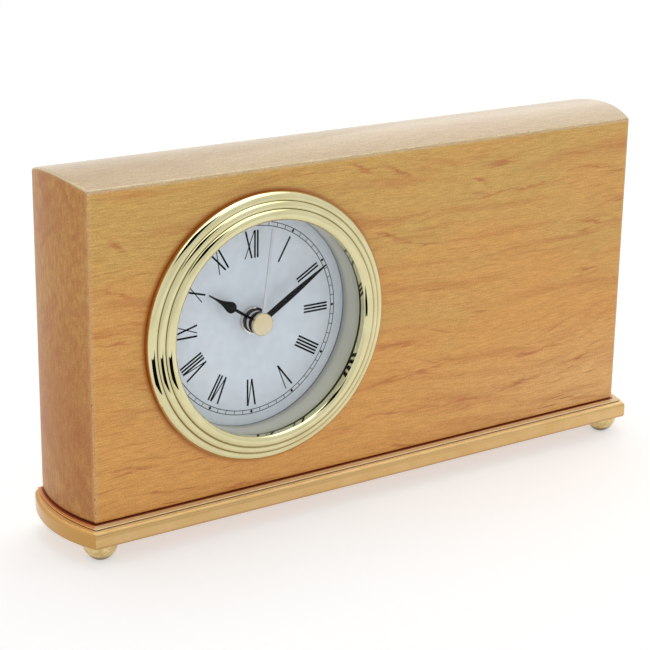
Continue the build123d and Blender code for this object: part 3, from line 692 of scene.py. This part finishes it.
# Painted shade at the block's foot, reaching onto the land.
LAND_FOOT_SHADE = srgb(176, 74, 30)
LAND_FOOT_SHADE_WIDTH = 0.65 * MM
RISER = 0.55 * MM
LIP_HEIGHT = 0.25 * MM
SOFT_EDGE = 0.1 * MM
POLISH_LINE = 0.3 * MM
bead_top = base_high.z - RISER


def from_level(tree, height, level):
    """One from a level upwards, with a soft edge just below it."""
    return spread(tree, height, 0.0, 1.0, level - SOFT_EDGE, level)


def beyond_block(tree, place):
    """How far a place on the base lies out from the block's end, and from its front."""
    outwards = worked(tree, "ABSOLUTE", place["X"])
    past_end = worked(tree, "ADD", outwards, bow_at(tree, place["Y"], END_BOW))
    past_end = worked(tree, "SUBTRACT", past_end, block_high.x)
    return past_end, worked(tree, "SUBTRACT", block_low.y, place["Y"])


def base_finish():
    material, tree, shader = new_finish("satin_gilt")
    place, facing = place_of(tree), facing_of(tree)
    past_end, past_front = beyond_block(tree, place)
    # A painted warm reflection of the wood, on the left end only.
    wood_reflection = spread(tree, worked(tree, "SUBTRACT", past_end, past_front), 0.0, 0.9, 0.0, 0.6 * MM)
    wood_reflection = product(tree, wood_reflection, worked(tree, "LESS_THAN", place["X"], 0.0))
    colour = bead_colour(tree, place, facing, wood_reflection)

    standing = standing_share(tree, facing)
    lying = spread(tree, facing["Z"], 0.0, 1.0, 0.9, 0.98)
    on_land = product(tree, lying, from_level(tree, place["Z"], base_high.z - SOFT_EDGE))
    past_bead = from_level(tree, place["Z"], bead_top - SOFT_EDGE)
    in_step = product(tree, lying, past_bead, rest_of(tree, on_land))
    on_lip = product(tree, standing, from_level(tree, place["Z"], base_high.z - LIP_HEIGHT))
    matt = largest(tree, on_lip, on_land, in_step)
    # The land, the step and the lip get a painted pale sheen.
    colour = blended(tree, matt, colour, blended(tree, wood_reflection, PALE_SHEEN, STEP_WOOD_REFLECTION))
    colour = blended(tree, on_land, colour, blended(tree, wood_reflection, PALE_SHEEN, LAND_WOOD_REFLECTION))
    # Painted shade in the groove at the foot of the riser.
    groove = spread(tree, place["Z"], 0.0, 0.9, bead_top - 0.05 * MM, bead_top + 0.02 * MM)
    groove = product(tree, groove, standing, rest_of(tree, on_lip))
    colour = blended(tree, groove, colour, blended(tree, wood_reflection, GROOVE_SHADE, GROOVE_SHADE_WOOD_REFLECTION))
    # Painted shade at the block's foot, on the land.
    past_block = largest(tree, past_end, past_front)
    land_foot_shade = spread(tree, past_block, 1.0, 0.0, 0.7 * LAND_FOOT_SHADE_WIDTH, LAND_FOOT_SHADE_WIDTH)
    colour = blended(tree, product(tree, on_land, land_foot_shade), colour, LAND_FOOT_SHADE)

    lines = grain(tree, POLISH_LINE, (30, 1, 1))
    rounded = spread(tree, facing["Z"], 0.0, 0.3, 0.3, 0.7)
    roughness = worked(tree, "ADD", spread(tree, lines, 0.18, 0.26), rounded)
    drive(tree, shader, base_color=colour, metallic=rest_of(tree, matt), roughness=roughness)
    relief(tree, shader, lines, 0.002 * MM, 0.3)
    return material


finishes["gilt"] = base_finish()
print("base nodes:", len(finishes["gilt"].node_tree.nodes))

# %% [markdown]
# ## Ball feet
# Four turned balls of bright gilt. Polished balls mirror the floor and the base above them. The paint darkens
# close to the table and under the base, a painted shade.

# %% The feet's finish
BALL_GILT = (srgb(206, 176, 114), srgb(226, 204, 152))
# Painted shade on the balls, low near the table and high under the base.
BALL_LOW_SHADE = srgb(84, 62, 36)
BALL_TOP_SHADE = srgb(120, 80, 36)
foot_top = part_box("foot_front_left")[1].z


def foot_finish():
    material, tree, shader = new_finish("ball_gilt")
    height = place_of(tree)["Z"]
    colour = blended(tree, clouds(tree, 1.2 * MM), *BALL_GILT)
    # Painted shade near the table and under the base.
    near_table = spread(tree, height, 0.9, 0.0, 1.1 * MM, 2.3 * MM)
    colour = blended(tree, near_table, colour, BALL_LOW_SHADE)
    near_base = spread(tree, height, 0.0, 0.9, foot_top - 2.2 * MM, foot_top - 0.8 * MM)
    colour = blended(tree, near_base, colour, BALL_TOP_SHADE)
    lines = grain(tree, POLISH_LINE, (1, 1, 0.3))
    drive(tree, shader, base_color=colour, metallic=1.0, roughness=spread(tree, lines, 0.08, 0.15))
    return material


finishes["ball_gilt"] = foot_finish()
print("feet", round(foot_top / MM, 2), "mm high")

# %% [markdown]
# ## The bezel's gilt
# The ring is a bright, pale gilt that is almost a mirror. Painted shade darkens the two grooves between its three
# beads and their flanks, and the outer rim takes a warm line, a painted reflection of the wood. All three lie at a
# fixed distance from the dial's axis, so that distance is all the paint needs.

# %% The bezel's finish
BRIGHT_GILT = (srgb(214, 206, 160), srgb(222, 215, 172))
# Painted shade on the flanks and in the grooves.
FLANK_SHADE = srgb(164, 154, 104)
BEZEL_GROOVE_SHADE = srgb(70, 62, 26)
# A painted reflection of the wood on the outer rim.
RIM_WOOD_REFLECTION = srgb(198, 142, 74)
GROOVES = (37.17 * MM, 35.02 * MM)
GROOVE_HALF = 0.1 * MM
FLANK_HALF = 0.6 * MM
RIM = 0.12 * MM


def bezel_finish():
    material, tree, shader = new_finish("bright_gilt")
    colour = blended(tree, clouds(tree, GILT_PATCH), *BRIGHT_GILT)
    radius = dial_radius(tree)
    for groove in GROOVES:
        apart = worked(tree, "ABSOLUTE", worked(tree, "SUBTRACT", radius, groove))
        # Painted shade on the flanks and along each groove.
        flank = spread(tree, apart, 0.5, 0.0, GROOVE_HALF, FLANK_HALF)
        colour = blended(tree, flank, colour, FLANK_SHADE)
        line = spread(tree, apart, 0.85, 0.0, 0.3 * GROOVE_HALF, GROOVE_HALF)
        colour = blended(tree, line, colour, BEZEL_GROOVE_SHADE)
    # A painted reflection of the wood on the outer rim.
    rim = spread(tree, radius, 0.0, 0.8, bezel_radius - RIM, bezel_radius - 0.5 * RIM)
    colour = blended(tree, rim, colour, RIM_WOOD_REFLECTION)
    haze = spread(tree, grain(tree, 1.5 * MM), 0.03, 0.06)
    drive(tree, shader, base_color=colour, metallic=1.0, roughness=haze)
    return material


finishes["bezel_gilt"] = bezel_finish()
print("grooves at", [round(groove / MM, 2) for groove in GROOVES], "mm")

# %% [markdown]
# ## Other metals
# Metal has no colour of its own besides the tint of its reflections, so its life comes from roughness: faint
# lines from the polishing wheel and a few cloudy patches. One recipe with other tints and other lines serves
# the gilt cap, the nickel nut, the zinc screws, the cell, and the motor's iron, magnet and wire.

# %% Metals from one recipe
METALS = {
    "hand_gilt": ("cap_gilt", (212, 200, 168), (204, 190, 154), (0.16, 0.26), 0.4, (1, 1, 1)),
    "nickel": ("bright_nickel", (226, 222, 218), (210, 206, 202), (0.08, 0.18), 0.3, (1, 6, 1)),
    "screw_steel": ("zinc_plate", (206, 207, 210), (186, 186, 186), (0.25, 0.4), 0.4, (1, 1, 1)),
    "magnet": ("ground_ferrite", (126, 126, 130), (104, 104, 108), (0.35, 0.5), 0.2, (1, 1, 1)),
    "stator_iron": ("stamped_iron", (202, 202, 200), (182, 182, 180), (0.28, 0.42), 0.3, (12, 1, 1)),
    "cell_steel": ("cell_steel", (226, 226, 224), (212, 212, 210), (0.14, 0.24), 0.2, (14, 1, 1)),
    "copper": ("enamelled_wire", (206, 122, 72), (176, 92, 50), (0.22, 0.36), 0.12, (1, 40, 40)),
}
WIRE_RELIEF = 0.03 * MM


def metal_finish(name, bright, dull, rough, size, stretch, depth):
    """A metal whose tint runs between two colours and whose roughness follows the polishing lines."""
    material, tree, shader = new_finish(name)
    lines = grain(tree, size * MM, stretch)
    colour = blended(tree, clouds(tree, GILT_PATCH), srgb(*dull), srgb(*bright))
    drive(tree, shader, base_color=colour, metallic=1.0, roughness=spread(tree, lines, *rough))
    if depth:
        relief(tree, shader, lines, depth, 0.3)
    return material


for slot, recipe in METALS.items():
    finishes[slot] = metal_finish(*recipe, depth=WIRE_RELIEF if slot == "copper" else 0.0)
print("metals:", ", ".join(METALS))

# %% [markdown]
# ## Plastics, paint, rubber and laminate
# These share a recipe too: a base tint that varies a little, a fine moulded or sprayed texture, and a
# roughness that follows it. The dial is a matt silver-white enamel that is slightly blue, the print on it a
# black ink, and the hands are lacquered black. Black paint keeps little shine, or it would look grey.

# %% Plastics and paints from one recipe
DULL = {"specular_ior_level": 0.1}
MILKY = {"subsurface_weight": 0.1}
MOULDED = {
    "dial": ("silver_enamel", (225, 234, 243), (219, 228, 237), (0.42, 0.55), 0.22, 0.003, {}),
    "hand_black": ("black_lacquer", (8, 8, 9), (14, 13, 15), (0.35, 0.45), 0.15, 0, DULL),
    "ink": ("dial_ink", (8, 9, 13), (16, 17, 22), (0.6, 0.75), 0.1, 0, DULL),
    "needle": ("needle_enamel", (206, 210, 217), (198, 201, 208), (0.35, 0.45), 0.2, 0, {}),
    "black_case": ("black_moulding", (30, 30, 31), (40, 40, 41), (0.48, 0.62), 0.25, 0.02, {}),
    "band_rubber": ("black_rubber", (28, 28, 28), (38, 37, 36), (0.7, 0.85), 0.3, 0.015, {}),
    "wheel_plastic": ("natural_acetal", (240, 238, 228), (230, 227, 214), (0.25, 0.35), 0.3, 0, MILKY),
    "bobbin_plastic": ("cream_nylon", (222, 212, 180), (210, 198, 162), (0.4, 0.5), 0.2, 0.006, {}),
    "board": ("green_laminate", (48, 110, 62), (40, 96, 54), (0.3, 0.45), 0.3, 0.01, {}),
    "chip": ("black_resin", (26, 26, 27), (36, 36, 37), (0.4, 0.55), 0.2, 0, {}),
}
CLOUD_SHARE = 12


def moulded_finish(name, first, second, rough, size, depth, extra):
    """A plastic or paint with a fine texture in its colour, roughness and relief."""
    material, tree, shader = new_finish(name)
    texture = grain(tree, size * MM)
    colour = blended(tree, clouds(tree, CLOUD_SHARE * size * MM), srgb(*first), srgb(*second))
    drive(tree, shader, base_color=colour, roughness=spread(tree, texture, *rough), **extra)
    if depth:
        relief(tree, shader, texture, depth * MM, 0.6)
    return material


for slot, recipe in MOULDED.items():
    finishes[slot] = moulded_finish(*recipe)
print("plastics and paints:", ", ".join(MOULDED))

# %% [markdown]
# ## The wall round the dial
# A satin silver wall leads from the lens down to the dial. It is painted darker towards the dial and under the
# bezel's lip, a painted shade, with a painted shadow at the dial's edge. Part of that shade would come from the
# light alone, but the lens and the soft tent wash it out.

# %% The wall's finish
WALL_PALE = srgb(216, 213, 197)
WALL_DARK = srgb(162, 160, 154)
UNDER_LIP = srgb(194, 188, 158)
# A painted shadow at the dial's edge.
DIAL_EDGE_SHADOW = srgb(56, 58, 62)
wall_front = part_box("reflector_ring")[0].y


def wall_finish():
    material, tree, shader = new_finish("satin_wall")
    depth = place_of(tree)["Y"]
    deep = spread(tree, depth, 0.0, 1.0, dial_face - 3.0 * MM, dial_face)
    colour = blended(tree, deep, WALL_PALE, WALL_DARK)
    under_lip = spread(tree, depth, 0.8, 0.0, wall_front, wall_front + 2.5 * MM)
    colour = blended(tree, under_lip, colour, UNDER_LIP)
    # Painted shadow where the wall meets the dial.
    joint = spread(tree, depth, 0.0, 0.9, dial_face - 0.45 * MM, dial_face - 0.25 * MM)
    colour = blended(tree, joint, colour, DIAL_EDGE_SHADOW)
    brushed = grain(tree, 0.25 * MM, (1, 30, 1))
    drive(tree, shader, base_color=colour, metallic=0.25, roughness=spread(tree, brushed, 0.35, 0.5))
    return material


finishes["reflector"] = wall_finish()
print("wall", round((dial_face - wall_front) / MM, 2), "mm deep")

# %% [markdown]
# ## The clear lens
# A flat cover of clear acrylic. A glass shader alone would keep the lamps' light from the dial behind it, so
# shadow rays see a plain transparent shader instead. A trace of waviness keeps its reflections alive.

# %% The lens's finish
LENS_TINT = (0.97, 0.98, 0.99, 1)
LENS_SHADOW = (0.96, 0.97, 0.98, 1)
LENS_IOR = 1.12


def lens_finish():
    material, tree, shader = new_finish("clear_cover")
    wave = grain(tree, 14 * MM)
    colour = blended(tree, spread(tree, wave, 0.0, 1.0), LENS_TINT, WHITE)
    drive(tree, shader, base_color=colour, roughness=0.0, ior=LENS_IOR, transmission_weight=1.0)
    relief(tree, shader, wave, 0.01 * MM, 0.05)
    clear = add(tree, "BsdfTransparent", {"Color": LENS_SHADOW})
    shadow = add(tree, "LightPath").outputs["Is Shadow Ray"]
    mixed = add(tree, "MixShader", {0: shadow, 1: shader.outputs[0], 2: clear.outputs[0]})
    tree.links.new(mixed.outputs[0], tree.nodes["Material Output"].inputs["Surface"])
    return material


finishes["lens"] = lens_finish()
print("finishes in all:", len(finishes))

# %% [markdown]
# ## Dressing the solids
# The record says which finish each solid takes, so a loop can hand them out. Their meshes stay as they are.
# Two pieces need a second material slot: the hour hand's collet is bright nickel under its black top, and
# the second hand's needle is pale enamel beside its gilt cap. Faces are chosen by their distance from the
# axis.

# %% Give every solid its finish
COLLET_RADIUS = 3.32 * MM
CAP_RADIUS = 3.45 * MM


def from_dial_axis(face):
    return hypot(face.center.x - axis_x, face.center.z - axis_z)


for row in frame["record"]["subparts"]:
    solid = frame["nodes"][row["node"]]
    solid.data.materials.clear()
    finish = "ball_gilt" if row["node"].startswith("foot_") else row["material_slot"]
    solid.data.materials.append(finishes[finish])

hour_hand = frame["nodes"]["hour_hand"].data
hour_hand.materials.append(finishes["nickel"])
for face in hour_hand.polygons:
    if from_dial_axis(face) < COLLET_RADIUS and abs(face.normal.y) < 0.5:
        face.material_index = 1

second_hand = frame["nodes"]["second_hand"].data
second_hand.materials.append(finishes["needle"])
for face in second_hand.polygons:
    if from_dial_axis(face) > CAP_RADIUS:
        face.material_index = 1
print("dressed", len(frame["nodes"]), "solids")

# %% [markdown]
# ## The bezel
# A ring of three beads that climb to a lip, polished like a mirror. A mirror shows every facet, so the ring
# is turned again here from the same section with far more steps than the solid has. A subdivided solid would
# soften the grooves. The beads are arcs, given by how far they stand out from the straight line between two
# grooves.

# %% The bezel's section
ARC_STEPS = 24
BEZEL_EDGE = 1.3 * MM
OUTER_BEAD = (2.48 * MM, 1.5 * MM, 0.6 * MM)
MIDDLE_BEAD = (2.15 * MM, 0.9 * MM, 0.5 * MM)
INNER_BEAD = (3.29 * MM, 0.1 * MM, 1.0 * MM)
LENS_SEAT = (33.05 * MM, 2.0 * MM)
FLANGE_SEAT = (38.05 * MM, 1.4 * MM)


def bead(start, width, rise, bulge):
    """Points of one bead, from start inwards and forwards, standing out by bulge."""
    chord = hypot(width, rise)
    radius = (chord * chord / 4 + bulge * bulge) / (2 * bulge)
    half_angle = atan2(chord / 2, radius - bulge)
    along = Vector((-width, rise)) / chord
    out = Vector((rise, width)) / chord
    points = []
    for step in range(1, ARC_STEPS + 1):
        angle = half_angle * (2 * step / ARC_STEPS - 1)
        forth = chord / 2 + radius * sin(angle)
        aside = radius * cos(angle) - (radius - bulge)
        points.append(tuple(Vector(start) + forth * along + aside * out))
    points[-1] = (start[0] - width, start[1] + rise)
    return points


section = [(bezel_radius, 0.0), (bezel_radius, BEZEL_EDGE)]
for shape in (OUTER_BEAD, MIDDLE_BEAD, INNER_BEAD):
    section += bead(section[-1], *shape)
lip_radius = section[-1][0]
section += [(lip_radius, LENS_SEAT[1]), LENS_SEAT, (LENS_SEAT[0], FLANGE_SEAT[1]), FLANGE_SEAT]
section += [(FLANGE_SEAT[0], 0.0)]
print("section of", len(section), "points, lip radius", round(lip_radius / MM, 2), "mm")

# %% [markdown]
# Turning sets the section at many angles round the axis and joins each to the next. Smooth shading hides the
# last facets, and edges sharper than a chosen angle stay crisp, so the grooves keep their lines.

# %% Turn the bezel
TURN_STEPS = 360
SHARP_ANGLE = radians(28)


def join_rings(work, rings):
    """A closed skin over rings of points, each joined to the next and the last to the first."""
    for step, this in enumerate(rings):
        following = rings[(step + 1) % len(rings)]
        for index in range(len(this)):
            after = (index + 1) % len(this)
            work.faces.new((this[index], following[index], following[after], this[after]))


def finished_piece(name, work, finish):
    """Turns collected points and faces into a piece with a finish."""
    bmesh.ops.recalc_face_normals(work, faces=work.faces)
    mesh = bpy.data.meshes.new(name)
    work.to_mesh(mesh)
    work.free()
    mesh.materials.append(finishes[finish])
    piece = bpy.data.objects.new(name, mesh)
    bpy.context.scene.collection.objects.link(piece)
    return piece


bezel_work = bmesh.new()
rings = []
for step in range(TURN_STEPS):
    angle = 2 * pi * step / TURN_STEPS
    spots = [(axis_x + r * cos(angle), wood_front - h, axis_z + r * sin(angle)) for r, h in section]
    rings.append([bezel_work.verts.new(spot) for spot in spots])
join_rings(bezel_work, rings)
bezel_ring = finished_piece("bezel_ring", bezel_work, "bezel_gilt")
for face in bezel_ring.data.polygons:
    face.use_smooth = True
bezel_ring.data.set_sharp_from_angle(angle=SHARP_ANGLE)
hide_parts("bezel")
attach(bezel_ring, "insert")
print("bezel", len(bezel_ring.data.polygons), "faces")

# %% [markdown]
# ## The printed dial
# The dial carries black Roman numerals and a minute track. Print could be an image on the dial, but it would
# blur from close up. So it is modelled as a very thin raised layer of ink: flat patches, each given by its
# outline across and along a line of the clock, and then turned to the hour.

# %% Patches of ink
INK_HEIGHT = 0.03 * MM


def on_dial(across, radius, clock_angle, height):
    """A point at a radius on the line of a clock angle, moved across it, height in front of the dial."""
    x = radius * sin(clock_angle) + across * cos(clock_angle)
    z = radius * cos(clock_angle) - across * sin(clock_angle)
    return axis_x + x, dial_face - height, axis_z + z


def ink_slab(work, outline, clock_angle):
    """A flat patch of ink with a small thickness, from points of across and radius."""
    front = [work.verts.new(on_dial(a, r, clock_angle, INK_HEIGHT)) for a, r in outline]
    back = [work.verts.new(on_dial(a, r, clock_angle, 0.0)) for a, r in outline]
    work.faces.new(front)
    work.faces.new(back[::-1])
    for index in range(len(outline)):
        after = (index + 1) % len(outline)
        work.faces.new((front[index], back[index], back[after], front[after]))


print("ink", round(INK_HEIGHT / MM, 3), "mm thick")

# %% [markdown]
# The numerals have no serifs. Thick strokes stand beside thin ones, with their feet towards the centre, and
# four is written with four bars, as on most dials. A font would bring its own shapes, so each letter is built
# from its straight strokes.

# %% Numerals
NUMERALS = ("XII", "I", "II", "III", "IIII", "V", "VI", "VII", "VIII", "IX", "X", "XI")
NUMERAL_FOOT = 18.2 * MM
NUMERAL_TOP = 26.35 * MM
THICK_STROKE = 0.56 * MM
THIN_STROKE = 0.3 * MM
BAR_PITCH = 0.95 * MM
BAR_GAP = 0.2 * MM
VEE_WIDTH = 2.4 * MM
CROSS_TOP = 2.95 * MM
CROSS_FOOT = 2.3 * MM
CROSS_LEAN = 0.2 * MM
HOUR_STEP = radians(30)


def stroke(foot, top, width):
    """Corners of a straight stroke between the numeral's foot and top circles."""
    half = width / 2
    corners = [(foot - half, NUMERAL_FOOT), (foot + half, NUMERAL_FOOT)]
    return corners + [(top + half, NUMERAL_TOP), (top - half, NUMERAL_TOP)]


def letter_strokes(letter, left):
    """The strokes of one letter that starts at left, and where the next letter starts."""
    if letter == "I":
        return [stroke(left, left, THICK_STROKE)], left + BAR_PITCH
    if letter == "V":
        foot = left + VEE_WIDTH / 2
        end = left + VEE_WIDTH
        return [stroke(foot, left, THICK_STROKE), stroke(foot, end, THIN_STROKE)], end + BAR_GAP
    end = left + CROSS_LEAN + CROSS_TOP
    heavy = stroke(left + CROSS_FOOT, left + CROSS_LEAN, THICK_STROKE)
    return [heavy, stroke(left, end, THIN_STROKE)], end + BAR_GAP


numeral_work = bmesh.new()
for hour, numeral in enumerate(NUMERALS):
    strokes, left = [], 0.0
    for letter in numeral:
        made, left = letter_strokes(letter, left)
        strokes += made
    edges = [across for outline in strokes for across, _ in outline]
    middle = (min(edges) + max(edges)) / 2
    for outline in strokes:
        ink_slab(numeral_work, [(a - middle, r) for a, r in outline], hour * HOUR_STEP)
numerals = finished_piece("dial_numerals", numeral_work, "ink")
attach(numerals, "insert")
print("numerals:", len(numerals.data.polygons), "faces")

# %% [markdown]
# The minute track lies outside the numerals: two fine circles, a line at each minute and a small diamond at
# each hour. The circles are turned in the same way as the bezel, from a section of four points.

# %% Minute track
TRACK_INNER = 27.66 * MM
TRACK_OUTER = 28.85 * MM
TRACK_LINE = 0.2 * MM
TRACK_STEPS = 240
TICK_WIDTH = 0.18 * MM
MINUTE_STEP = radians(6)
DIAMOND_HALF = 0.52 * MM

track_work = bmesh.new()
for radius in (TRACK_INNER, TRACK_OUTER):
    low, high = radius - TRACK_LINE / 2, radius + TRACK_LINE / 2
    corners = ((low, 0.0), (low, INK_HEIGHT), (high, INK_HEIGHT), (high, 0.0))
    rings = []
    for step in range(TRACK_STEPS):
        angle = 2 * pi * step / TRACK_STEPS
        rings.append([track_work.verts.new(on_dial(0.0, r, angle, height)) for r, height in corners])
    join_rings(track_work, rings)

half = TICK_WIDTH / 2
tick = [(-half, TRACK_INNER), (half, TRACK_INNER), (half, TRACK_OUTER), (-half, TRACK_OUTER)]
for minute in range(60):
    ink_slab(track_work, tick, minute * MINUTE_STEP)

track_middle = (TRACK_INNER + TRACK_OUTER) / 2
diamond = [(0, track_middle - DIAMOND_HALF), (DIAMOND_HALF, track_middle)]
diamond += [(0, track_middle + DIAMOND_HALF), (-DIAMOND_HALF, track_middle)]
for hour in range(12):
    ink_slab(track_work, diamond, hour * HOUR_STEP)
track = finished_piece("minute_track", track_work, "ink")
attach(track, "insert")
print("track:", len(track.data.polygons), "faces")
